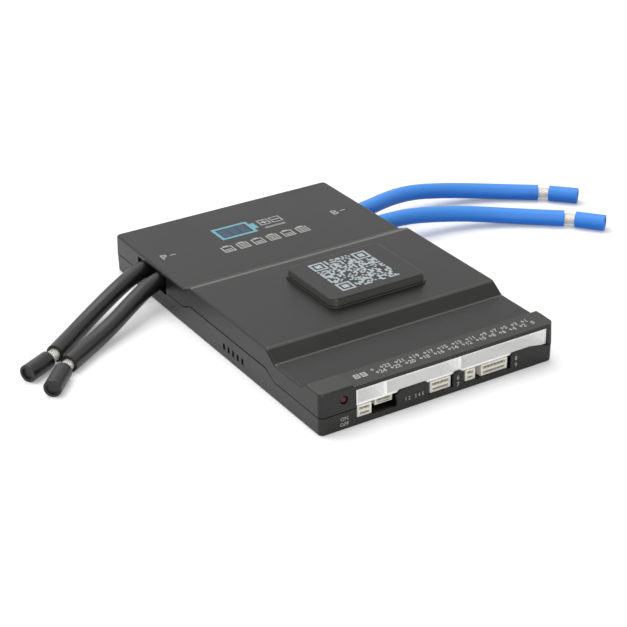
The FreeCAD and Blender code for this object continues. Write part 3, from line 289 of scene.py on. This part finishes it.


# %% [markdown]
# ## Moulded and rubber surfaces
# The case is ABS moulded against a spark-eroded tool, which leaves a fine even grain and a soft
# sheen. The sockets are nylon, smoother and a little uneven, and the small ports' nylon has aged a
# little. The leads are silicone rubber, shiny where it is wiped and dull where powder sticks, and
# their tops are painted paler, a painted highlight where the light from above falls. On the board,
# the chips are moulded epoxy, dark and dull, the board wears a green, glossy solder resist, and a
# soft grey filler lies under it. The lamp's lens is dark red and unlit. All of them are one shader
# with a fine bump, a slow change of tone and a slow change of gloss, so one function makes them from
# their numbers.


# %% Moulded plastics and rubber
def moulded(name, colour, second_colour, roughness, grain, grain_height, patch, sheen=0.5, speck=0.0,
            painted_top_light=""):
    """Plastic or rubber: grain and patch are sizes in metres, and a last colour, if given, is painted on
    faces that point up, as a painted highlight.
    """
    material, tree = empty_material(name)
    place = add_node(tree, "ShaderNodeTexCoord")
    fine = add_node(tree, "ShaderNodeTexNoise", {"Vector": place.outputs["Object"], "Scale": 1 / grain,
                                                 "Detail": 3.0, "Roughness": 0.6})
    slow = add_node(tree, "ShaderNodeTexNoise", {"Vector": place.outputs["Object"], "Scale": 1 / patch,
                                                 "Detail": 4.0, "Roughness": 0.55})
    tone = add_node(tree, "ShaderNodeMapRange", {"Value": slow.outputs["Fac"], "From Min": 0.35,
                                                 "From Max": 0.65})
    colours = add_node(tree, "ShaderNodeMix", {"Factor": tone.outputs["Result"], 6: linear(colour),
                                               7: linear(second_colour)}, data_type="RGBA")
    # painted highlight: faces are painted paler the more they point up, as if lit from above
    if painted_top_light:
        surface = add_node(tree, "ShaderNodeNewGeometry")
        lie = add_node(tree, "ShaderNodeSeparateXYZ", {"Vector": surface.outputs["Normal"]})
        painted_top_mask = add_node(tree, "ShaderNodeMapRange", {"Value": lie.outputs["Z"], "From Min": -0.2,
                                                       "From Max": 1.0, "To Max": 0.8})
        colours = add_node(tree, "ShaderNodeMix", {"Factor": painted_top_mask.outputs["Result"],
                                                   6: colours.outputs[2], 7: linear(painted_top_light)},
                           data_type="RGBA")
    gloss = add_node(tree, "ShaderNodeMapRange", {"Value": slow.outputs["Fac"], "From Min": 0.3,
                                                  "From Max": 0.7, "To Min": roughness - 0.04,
                                                  "To Max": roughness + 0.05 + speck})
    bump = add_node(tree, "ShaderNodeBump", {"Height": fine.outputs["Fac"], "Strength": grain_height,
                                             "Distance": grain / 4})
    shader = add_node(tree, "ShaderNodeBsdfPrincipled", {
        "Base Color": colours.outputs[2], "Roughness": gloss.outputs["Result"],
        "Specular IOR Level": sheen, "Normal": bump.outputs["Normal"]})
    add_node(tree, "ShaderNodeOutputMaterial", {"Surface": shader.outputs["BSDF"]})
    return material


# the real grain is about 0.1 mm; it is drawn at 0.5 mm so that it still shows as a soft texture
case_abs = moulded("case_abs", "121211", "161615", 0.35, 0.5 * MM, 0.25, 26 * MM, sheen=0.32)
socket_nylon = moulded("socket_nylon", "f1f2f3", "f6f6f7", 0.45, 0.4 * MM, 0.08, 9 * MM)
port_nylon = moulded("port_nylon", "c2c0b6", "cccac0", 0.45, 0.4 * MM, 0.08, 9 * MM, sheen=0.35)
# the last colour given to each silicone is a painted highlight on the faces that point up
black_silicone = moulded("black_silicone", "0d0d0d", "131313", 0.3, 0.7 * MM, 0.18, 12 * MM, sheen=0.42,
                         speck=0.1, painted_top_light="1b1b1b")
blue_silicone = moulded("blue_silicone", "155eb6", "1964ba", 0.4, 0.7 * MM, 0.12, 14 * MM, sheen=0.2,
                        painted_top_light="5599e8")
component_epoxy = moulded("component_epoxy", "1a1a1b", "222223", 0.5, 0.3 * MM, 0.2, 4 * MM)
gap_filler = moulded("gap_filler", "7f8c98", "8a96a1", 0.7, 0.8 * MM, 0.2, 6 * MM)
solder_resist = moulded("solder_resist", "123f24", "17482b", 0.3, 0.6 * MM, 0.05, 8 * MM)
lamp_lens = moulded("lamp_lens", "430d12", "4e1016", 0.42, 1.0 * MM, 0.0, 3 * MM, sheen=0.25)


def retouch(material, colour, axis_bands, upward, within=0.3):
    """Another colour inside the bands of millimetres, where a normal's upward part is near a value."""
    tree = material.node_tree
    shader = next(node for node in tree.nodes if node.type == "BSDF_PRINCIPLED")
    before = shader.inputs["Base Color"].links[0].from_socket
    place = add_node(tree, "ShaderNodeTexCoord")
    surface = add_node(tree, "ShaderNodeNewGeometry")
    spot = add_node(tree, "ShaderNodeSeparateXYZ", {"Vector": place.outputs["Object"]})
    lie = add_node(tree, "ShaderNodeSeparateXYZ", {"Vector": surface.outputs["Normal"]})
    here = add_node(tree, "ShaderNodeMath", {0: lie.outputs["Z"], 1: upward, 2: within},
                    operation="COMPARE")
    for axis, (low, high) in axis_bands.items():
        band = add_node(tree, "ShaderNodeMath", {0: spot.outputs[axis], 1: (low + high) / 2 * MM,
                                                 2: (high - low) / 2 * MM}, operation="COMPARE")
        here = add_node(tree, "ShaderNodeMath", {0: here.outputs[0], 1: band.outputs[0]},
                        operation="MULTIPLY")
    mixed = add_node(tree, "ShaderNodeMix", {"Factor": here.outputs[0], 6: before, 7: linear(colour)},
                     data_type="RGBA")
    tree.links.new(mixed.outputs[2], shader.inputs["Base Color"])


# painted highlight: the top of the step's edge is painted paler, where light catches it
retouch(case_abs, "5a5a57", {"Y": (STEP_TOP - 1.4, STEP_TOP + 0.1),
                             "Z": (MIDDLE_LEVEL - 0.3, MIDDLE_LEVEL + 0.2)}, 1.0)
# painted light: the pad's walls are painted paler than the faces that lie flat, for the light they catch
retouch(case_abs, "3a3a38", {"Z": (MIDDLE_LEVEL + 0.2, PAD_TOP - 0.2)}, 0.0)
# painted highlights along the top and the foot of the ramp
retouch(case_abs, "3f3f3d", {"Y": (RAMP_TOP - 0.8, RAMP_TOP + 0.3),
                             "Z": (MIDDLE_LEVEL - 0.8, MIDDLE_LEVEL + 0.1)}, 0.9)
retouch(case_abs, "3f3f3d", {"Y": (RAMP_FOOT - 0.9, RAMP_FOOT + 0.1),
                             "Z": (LOW_LEVEL - 0.2, LOW_LEVEL + 0.2)}, 0.9)
# the sloping strip over the sockets is painted paler
retouch(case_abs, "2f2f2d", {"Y": (FRONT, FRONT + 9.6), "Z": (STRIP_FRONT - 0.2, STRIP_REAR + 0.2)}, 1.0)
# painted shade: the sockets' front rims are painted darker, to tone down the light that falls on them
retouch(socket_nylon, "dadbd9", {"Y": (MOUTH - 0.1, MOUTH + 0.2)}, 0.0)
print("moulded finishes:", case_abs.name, socket_nylon.name, black_silicone.name, blue_silicone.name)

# %% [markdown]
# ## Metals
# The pins, bars and strands are tinned, so they are silvery with a warm cast. The screws are
# zinc-plated steel and the capacitor cans drawn aluminium. A metal's colour is its reflection, so
# it is set metallic and given a brushed or drawn unevenness in its gloss.


# %% Metals
def metal(name, colour, second_colour, roughness, grain, stretch=(1, 1, 1)):
    """A metal whose tone and gloss vary along a grain of that size in metres."""
    material, tree = empty_material(name)
    place = add_node(tree, "ShaderNodeTexCoord")
    turned = add_node(tree, "ShaderNodeMapping", {"Vector": place.outputs["Object"], "Scale": stretch})
    marks = add_node(tree, "ShaderNodeTexNoise", {"Vector": turned.outputs["Vector"], "Scale": 1 / grain,
                                                  "Detail": 3.0})
    colours = add_node(tree, "ShaderNodeMix", {"Factor": marks.outputs["Fac"], 6: linear(colour),
                                               7: linear(second_colour)}, data_type="RGBA")
    gloss = add_node(tree, "ShaderNodeMapRange", {"Value": marks.outputs["Fac"],
                                                  "To Min": roughness - 0.06, "To Max": roughness + 0.08})
    shader = add_node(tree, "ShaderNodeBsdfPrincipled", {
        "Base Color": colours.outputs[2], "Metallic": 1.0, "Roughness": gloss.outputs["Result"]})
    add_node(tree, "ShaderNodeOutputMaterial", {"Surface": shader.outputs["BSDF"]})
    return material


tinned_copper = metal("tinned_copper", "b7b4ae", "d2cfc9", 0.45, 0.6 * MM)
tinned_brass = metal("tinned_brass", "c9bfa4", "d8d0b8", 0.3, 0.5 * MM)
zinc_plate = metal("zinc_plate", "a9abad", "bdbfc1", 0.32, 0.4 * MM, (1, 6, 1))
drawn_aluminium = metal("drawn_aluminium", "c8cacc", "d8dadc", 0.3, 0.5 * MM, (6, 1, 6))
print("metals:", tinned_copper.name, tinned_brass.name, zinc_plate.name, drawn_aluminium.name)

# %% [markdown]
# ## Printing ink
# The marks are pad-printed in a thin opaque ink. It sits a few hundredths of a millimetre proud of
# the grain, is duller than the plastic, and lets a little of it through where the film is thin.


# %% Inks
INK_MOTTLE = 0.45 * MM


def printing_ink(name, colour, thin_colour):
    """Opaque ink, mottled where the film is thin."""
    material, tree = empty_material(name)
    place = add_node(tree, "ShaderNodeTexCoord")
    mottle = add_node(tree, "ShaderNodeTexNoise", {"Vector": place.outputs["Object"],
                                                   "Scale": 1 / INK_MOTTLE, "Detail": 2.0})
    cover = add_node(tree, "ShaderNodeMapRange", {"Value": mottle.outputs["Fac"], "From Min": 0.3,
                                                  "From Max": 0.55})
    colours = add_node(tree, "ShaderNodeMix", {"Factor": cover.outputs["Result"], 6: linear(thin_colour),
                                               7: linear(colour)}, data_type="RGBA")
    shader = add_node(tree, "ShaderNodeBsdfPrincipled", {"Base Color": colours.outputs[2],
                                                         "Roughness": 0.6})
    add_node(tree, "ShaderNodeOutputMaterial", {"Surface": shader.outputs["BSDF"]})
    return material


white_ink = printing_ink("white_ink", "a6a8a6", "7f817f")
worn_ink = printing_ink("worn_ink", "969896", "727472")
code_ink = printing_ink("code_ink", "a8b0b3", "80898c")
pale_blue_ink = printing_ink("pale_blue_ink", "689fae", "54818f")
deep_blue_ink = printing_ink("deep_blue_ink", "24425a", "1f3646")
print("inks:", white_ink.name, worn_ink.name, code_ink.name, pale_blue_ink.name, deep_blue_ink.name)

# %% [markdown]
# ## Finishes on the solids
# Most solids are right as they are and only need their finish. The record says which slot each
# solid belongs to, so one table from slot to material dresses them all.

# %% Dress the solids
FINISH = {
    "case": case_abs, "socket_white": socket_nylon, "lamp": lamp_lens,
    "board": solder_resist, "component_black": component_epoxy, "can": drawn_aluminium,
    "soft_pad": gap_filler, "screw": zinc_plate, "contact": tinned_brass,
    "strands": tinned_copper, "bar": tinned_copper,
    "lead_black": black_silicone, "lead_blue": blue_silicone,
}
slot_of = {entry["node"]: entry["material_slot"] for entry in frame["record"]["subparts"]}


def dress(item, material):
    """Puts one material in every slot of an object."""
    if not item.material_slots:
        item.data.materials.append(material)
    for place in item.material_slots:
        place.material = material


for node, solid in frame["nodes"].items():
    dress(solid, FINISH[slot_of[node]])
print("dressed:", len(frame["nodes"]), "solids in", len(set(slot_of.values())), "finishes")

# %% [markdown]
# ## Smooth copies of what shows
# The solids arrive as loose triangles, so light breaks on each facet. A copy is merged, its flat
# faces are joined, and its soft edges are shaded smooth, while real corners stay sharp. The sockets,
# the ports and the slugs get a very small bevel as well, as moulded and cut edges have. A corner's
# normal is the mean of the faces round it that bend away only a little, weighed by their area, so
# a large flat face stays flat up to its edge. The copy then stands for the solid.


# %% Copies of the case, the sockets, the ports, the lamp and the slugs
SMOOTH_BELOW, FLAT_BELOW, RIM_ABOVE = (math.radians(angle) for angle in (32, 0.3, 50))
SAME_SPOT = 0.0005 * MM
SLUG_RIM, SOCKET_RIM = 0.25 * MM, 0.12 * MM


def settle_normals(data):
    """Gives each corner the mean normal of the faces round it that bend away little, by their area."""
    around = [[] for vertex in data.vertices]
    for face in data.polygons:
        for corner in face.vertices:
            around[corner].append(face)
    least, normals = math.cos(SMOOTH_BELOW), []
    for face in data.polygons:
        for corner in face.vertices:
            alike = [other.normal * other.area for other in around[corner]
                     if other.normal.dot(face.normal) > least]
            normals.append(sum(alike, Vector()).normalized())
    data.normals_split_custom_set(normals)


def smooth_copy(node, name, rim=0.0, material=None):
    """A merged, smooth-shaded copy of a solid, its sharp edges rounded by a rim in metres."""
    mesh = bmesh.new()
    mesh.from_mesh(frame["nodes"][node].data)
    bmesh.ops.remove_doubles(mesh, verts=mesh.verts[:], dist=SAME_SPOT)
    bmesh.ops.dissolve_limit(mesh, angle_limit=FLAT_BELOW, verts=mesh.verts[:], edges=mesh.edges[:])
    if rim:
        sharp = [edge for edge in mesh.edges if edge.calc_face_angle(0.0) > RIM_ABOVE]
        bmesh.ops.bevel(mesh, geom=sharp, offset=rim, offset_type="OFFSET", affect="EDGES", segments=2,
                        profile=0.5, material=-1, clamp_overlap=True)
    for face in mesh.faces:
        face.smooth = True
    piece = new_piece(name, mesh, [material or FINISH[slot_of[node]]])
    settle_normals(piece.data)
    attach(piece, "root")
    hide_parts(node)
    return piece


cover_shell = smooth_copy("upper_cover", "cover_shell")
base_shell = smooth_copy("lower_base", "base_shell")
smooth_copy("status_lamp", "lamp_dome")
slugs = {name: smooth_copy(name.replace("lead", "tip"), name.replace("lead", "slug"), SLUG_RIM)
         for name in LEADS}
for node in slot_of:
    if node.startswith(("balance_header", "signal_port")):
        smooth_copy(node, node.replace("balance_", "").replace("signal_", "") + "_shell", SOCKET_RIM,
                    port_nylon if "port" in node else None)
print("cover faces:", len(cover_shell.data.polygons), "base faces:", len(base_shell.data.polygons))

# %% [markdown]
# ## The leads become cords
# Each lead's insulation and its strands get their finishes and ride on the case, and the solids
# they stand for are hidden.

for name, (route, heading, length) in LEADS.items():
    first, second = (Vector(spot) * MM for spot in route[:2])
    insulation, strands = insulations[name], strand_pieces[name]
    dress(insulation, FINISH[slot_of[name]])
    dress(strands, tinned_copper)
    for piece, node in ((insulation, name), (strands, name.replace("lead", "wire"))):
        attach(piece, "root")
        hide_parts(node)

# %% [markdown]
# ## Printed marks
# Each mark is a very thin solid laid on the face it is printed on. A small matrix says where it
# lies: where its middle is, which way it reads and which way its letters stand. Inside a mark,
# sizes are in millimetres.

# %% Helpers for marks
INK_FILM = 0.03


def laid(middle, reads=(1, 0, 0), stands=(0, 1, 0)):
    """A placing matrix from a mark's own millimetres to the case."""
    reads, stands = Vector(reads).normalized(), Vector(stands).normalized()
    turn = Matrix((reads, stands, reads.cross(stands))).transposed().to_4x4()
    return Matrix.Translation(Vector(middle) * MM) @ turn @ Matrix.Scale(MM, 4)


def add_text(mesh, text, size, matrix, bold=0.0):
    """Text as a thin solid, its middle at the matrix's origin, its strokes widened by bold."""
    letters = bpy.data.curves.new("letters", "FONT")
    letters.body, letters.size, letters.extrude, letters.offset = text, size, INK_FILM, bold
    letters.align_x, letters.align_y = "CENTER", "CENTER"
    letters.resolution_u = 2
    holder = bpy.data.objects.new("letters", letters)
    flat = bpy.data.meshes.new_from_object(holder)
    flat.transform(matrix)
    mesh.from_mesh(flat)
    bpy.data.objects.remove(holder)
    bpy.data.curves.remove(letters)
    bpy.data.meshes.remove(flat)


def add_bar(mesh, matrix, left, right_end, low, high):
    """A rectangle of ink."""
    size = Matrix.Diagonal((right_end - left, high - low, 2 * INK_FILM, 1))
    middle = Matrix.Translation(((left + right_end) / 2, (low + high) / 2, 0))
    bmesh.ops.create_cube(mesh, size=1, matrix=matrix @ middle @ size)


def add_frame(mesh, matrix, width, tall, line):
    """A rectangle drawn in line, its middle at the matrix's origin."""
    add_bar(mesh, matrix, -width / 2, width / 2, tall / 2 - line, tall / 2)
    add_bar(mesh, matrix, -width / 2, width / 2, -tall / 2, -tall / 2 + line)
    add_bar(mesh, matrix, -width / 2, -width / 2 + line, -tall / 2 + line, tall / 2 - line)
    add_bar(mesh, matrix, width / 2 - line, width / 2, -tall / 2 + line, tall / 2 - line)


def mark_piece(name, mesh, material):
    """A printed mark riding on the case."""
    piece = new_piece(name, mesh, [material])
    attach(piece, "root")
    return piece


# %% [markdown]
# ## Numbers over the sockets
# The strip over the sockets slopes down to the front and numbers the cells' taps from the right, in
# two staggered rows so that they don't crowd. Numbers with two digits need more room, so they stand
# further apart. Two small blocks close the row on the left.

# %% Tap numbers
STRIP_UP = (0, STRIP_RUN, STRIP_REAR - STRIP_FRONT)
LOW_ROW, HIGH_ROW, NUMBER_SIZE = 4.0, 6.2, 2.85
TAPS, ZERO_AT = 24, 44.2
NEAR_PITCH, WIDE_PITCH, LAST_NEAR = 2.35, 3.12, 9.5
NUMBER_STROKE = 0.05


def on_strip(across, from_front):
    """A matrix for a mark on the number strip."""
    height = STRIP_FRONT + (STRIP_REAR - STRIP_FRONT) * from_front / STRIP_RUN
    return laid((across, FRONT + from_front, height), stands=STRIP_UP)


mesh = bmesh.new()
for tap in range(TAPS + 1):
    across = ZERO_AT - NEAR_PITCH * min(tap, LAST_NEAR) - WIDE_PITCH * max(tap - LAST_NEAR, 0)
    spot = on_strip(across, HIGH_ROW if tap % 2 else LOW_ROW)
    add_text(mesh, f"+{tap}" if tap else "0", NUMBER_SIZE, spot, NUMBER_STROKE)
add_text(mesh, "+", NUMBER_SIZE, on_strip(across - WIDE_PITCH + 0.8, HIGH_ROW), NUMBER_STROKE)
for across in (-32.8, -29.9):
    block = on_strip(across, 5.3)
    add_frame(mesh, block, 2.3, 2.6, 0.55)
    add_bar(mesh, block, -0.5, 0.5, -0.3, 0.3)
strip_numbers = mark_piece("strip_numbers", mesh, white_ink)
print("tap numbers: 0 to", TAPS, "in", len(strip_numbers.data.polygons), "faces")

# %% [markdown]
# ## Marks on the rear level
# The two sides of the case are marked with the polarity of their leads. The middle carries a plain
# battery sign in two blue inks, and a plus and a minus in boxes and a row of cell signs in white
# ink. The signs are built from rectangles, because so small a print needs nothing finer.

# %% Polarity, battery sign and cell signs
mesh = bmesh.new()
for text, across, along in (("P", -44.3, 49.6), ("B", 36.8, 49.2)):
    add_text(mesh, text, 5.9, laid((across, along, REAR_LEVEL)), 0.04)
    add_bar(mesh, laid((across, along, REAR_LEVEL)), 2.9, 5.4, 0.1, 0.6)
mark_piece("polarity_marks", mesh, white_ink)

mesh = bmesh.new()
sign = laid((-8.1, 56.4, REAR_LEVEL))
add_frame(mesh, sign, 16.8, 11.4, 1.4)
add_bar(mesh, sign, 8.4, 10.4, -2.6, 2.6)
mark_piece("battery_sign", mesh, pale_blue_ink)
mesh = bmesh.new()
for left in (-6.5, -2.1, 2.3):
    add_bar(mesh, sign, left, left + 3.7, -3.8, 3.8)
mark_piece("battery_charge", mesh, deep_blue_ink)

mesh = bmesh.new()
for middle in (6.6, 12.4):
    beside = laid((middle, 57.4, REAR_LEVEL))
    add_frame(mesh, beside, 4.9, 5.2, 0.5)
    add_bar(mesh, beside, -1.6, 1.6, -0.35, 0.35)
plus = laid((6.6, 57.4, REAR_LEVEL))
add_bar(mesh, plus, -0.35, 0.35, -1.6, -0.35)
add_bar(mesh, plus, -0.35, 0.35, 0.35, 1.6)
under = laid((9.2, 52.0, REAR_LEVEL))
for line in (-0.55, 0.25):
    add_bar(mesh, under, -4.9, 4.9, line, line + 0.4)
CELLS, CELL_PITCH, CELL_WIDE, CELL_TALL = 6, 7.07, 5.1, 5.4
for k in range(CELLS):
    cell = laid(((k - (CELLS - 1) / 2) * CELL_PITCH - 1.1, 42.1, REAR_LEVEL))
    add_frame(mesh, cell, CELL_WIDE, CELL_TALL, 0.55)
    add_bar(mesh, cell, -1.2, 1.2, CELL_TALL / 2, CELL_TALL / 2 + 0.7)
    for step in range(2 + k % 2):
        add_bar(mesh, cell, -1.6, 1.6, -1.7 + step * 1.25, -1.1 + step * 1.25)
mark_piece("cell_signs", mesh, white_ink)
print("cell signs:", CELLS)

# %% [markdown]
# ## The square pattern on the pad
# The pad carries a square of small printed modules with a ring in three corners. A seeded draw
# fills it, so it says nothing and is the same each time.

# %% Module pattern
MODULES, PATTERN_SIDE, FILLED = 29, 26.0, 0.52
MODULE = PATTERN_SIDE / MODULES
INK_SPREAD = 1.02
RING = 7
corners = [(0, 0), (0, MODULES - RING), (MODULES - RING, MODULES - RING)]
draw = random.Random(8)


def in_corner(column, row):
    """True for a module in a corner ring or in the blank line round it."""
    return any(first - 1 <= column <= first + RING and second - 1 <= row <= second + RING
               for first, second in corners)


mesh = bmesh.new()
pattern = laid((6.0, -13.4, PAD_TOP)) @ Matrix.Translation((-PATTERN_SIDE / 2, -PATTERN_SIDE / 2, 0))
for column in range(MODULES):
    for row in range(MODULES):
        if draw.random() < FILLED and not in_corner(column, row):
            add_bar(mesh, pattern, column * MODULE, (column + INK_SPREAD) * MODULE,
                    row * MODULE, (row + INK_SPREAD) * MODULE)
for first, second in corners:
    middle = pattern @ Matrix.Translation(((first + RING / 2) * MODULE, (second + RING / 2) * MODULE, 0))
    add_frame(mesh, middle, RING * MODULE, RING * MODULE, MODULE)
    add_bar(mesh, middle, -1.5 * MODULE, 1.5 * MODULE, -1.5 * MODULE, 1.5 * MODULE)
module_pattern = mark_piece("module_pattern", mesh, code_ink)
print("pattern faces:", len(module_pattern.data.polygons))

# %% [markdown]
# ## Small marks on the front
# The tabs between the ports carry tiny plain numbers, and the corner under the lamp says ON and
# OFF. Their ink is greyer than on top, because the face is handled more and the print wears.

# %% Port numbers
FACE_UP = (0, 0, 1)
mesh = bmesh.new()
for text, size, across, height in (
        ("1 2", 2.0, -14.6, 4.4), ("3 4 5", 2.0, -9.6, 4.4), ("6", 2.6, 7.5, 6.1), ("7", 2.6, 7.5, 3.2),
        ("8", 2.4, 33.9, 6.1), ("9", 2.4, 33.9, 3.4)):
    add_text(mesh, text, size, laid((across, FRONT, height), stands=FACE_UP))
for text, height in (("ON", 4.6), ("OFF", 2.4)):
    add_text(mesh, text, 2.1, laid((-41.4, FRONT + 0.05, height), stands=FACE_UP))
port_numbers = mark_piece("port_numbers", mesh, worn_ink)
print("port marks:", len(port_numbers.data.polygons), "faces")

# %% [markdown]
# ## Table, surroundings and light
# The object lies on a white table that runs out of the picture. Seen by the camera the table and
# the room are white, and to everything else they are a plain pale grey, so the object's own
# shadow stays and nothing is lit too hard. The lamps reach less far than the table, so it glows
# more further out, which keeps low views white up to the top. One large soft lamp hangs above,
# weaker ones stand behind and in front to the left, and a small card in front throws light into
# the sockets.

# %% Table
TABLE = 6.0
GLOW_NEAR, GLOW_FAR, GLOW_FROM, GLOW_TO = 0.14, 0.7, 0.4, 1.6


def seen_white(tree):
    """A 0 to 1 value that is 1 for what the camera, a reflection or glass sees."""
    path = add_node(tree, "ShaderNodeLightPath")
    either = add_node(tree, "ShaderNodeMath", {0: path.outputs["Is Camera Ray"],
                                               1: path.outputs["Is Glossy Ray"]}, operation="MAXIMUM")
    return add_node(tree, "ShaderNodeMath", {0: either.outputs[0],
                                             1: path.outputs["Is Transmission Ray"]}, operation="MAXIMUM")


mesh = bmesh.new()
bmesh.ops.create_grid(mesh, x_segments=1, y_segments=1, size=TABLE / 2)
table = new_piece("table", mesh)
material, tree = empty_material("white_table")
paper = add_node(tree, "ShaderNodeBsdfDiffuse", {"Color": linear("f2f2f2")})
place = add_node(tree, "ShaderNodeTexCoord")
away = add_node(tree, "ShaderNodeVectorMath", {0: place.outputs["Object"]}, operation="LENGTH")
fill = add_node(tree, "ShaderNodeMapRange", {"Value": away.outputs["Value"], "From Min": GLOW_FROM,
                                             "From Max": GLOW_TO, "To Min": GLOW_NEAR,
                                             "To Max": GLOW_FAR})
glow = add_node(tree, "ShaderNodeEmission", {"Color": linear("ffffff"),
                                             "Strength": fill.outputs["Result"]})
bright = add_node(tree, "ShaderNodeAddShader", {0: paper.outputs[0], 1: glow.outputs[0]})
mixed = add_node(tree, "ShaderNodeMixShader", {0: seen_white(tree).outputs[0], 1: paper.outputs[0],
                                               2: bright.outputs[0]})
add_node(tree, "ShaderNodeOutputMaterial", {"Surface": mixed.outputs[0]})
dress(table, material)

# %% Surroundings and lamps
ROOM_LIGHT = 0.45
world = bpy.data.worlds.new("white_room")
bpy.context.scene.world = world
world.use_nodes = True
tree = world.node_tree
tree.nodes.clear()
plain = add_node(tree, "ShaderNodeBackground", {"Color": linear("ffffff"), "Strength": ROOM_LIGHT})
white = add_node(tree, "ShaderNodeBackground", {"Color": linear("ffffff"), "Strength": 1.0})
mixed = add_node(tree, "ShaderNodeMixShader", {0: seen_white(tree).outputs[0], 1: plain.outputs[0],
                                               2: white.outputs[0]})
add_node(tree, "ShaderNodeOutputWorld", {"Surface": mixed.outputs[0]})


def soft_lamp(name, spot, size, power):
    """A square soft lamp at a spot, turned to the middle of the case."""
    data = bpy.data.lights.new(name, "AREA")
    data.shape, data.size, data.energy = "SQUARE", size, power
    lamp = bpy.data.objects.new(name, data)
    bpy.context.collection.objects.link(lamp)
    lamp.location = spot
    lamp.rotation_euler = (-Vector(spot)).to_track_quat("-Z", "Y").to_euler()
    return lamp


soft_lamp("overhead", (-0.1, 0.45, 1.2), 1.2, 13.0)
soft_lamp("rear_left", (-0.95, 0.75, 0.5), 0.7, 3.0)
soft_lamp("front_left", (-0.55, -1.1, 0.75), 0.9, 4.0)
soft_lamp("front_card", (-0.2, -0.5, 0.12), 0.25, 1.1)
bpy.context.scene.view_settings.view_transform = "Standard"
print("lamps: 4, room light:", ROOM_LIGHT)
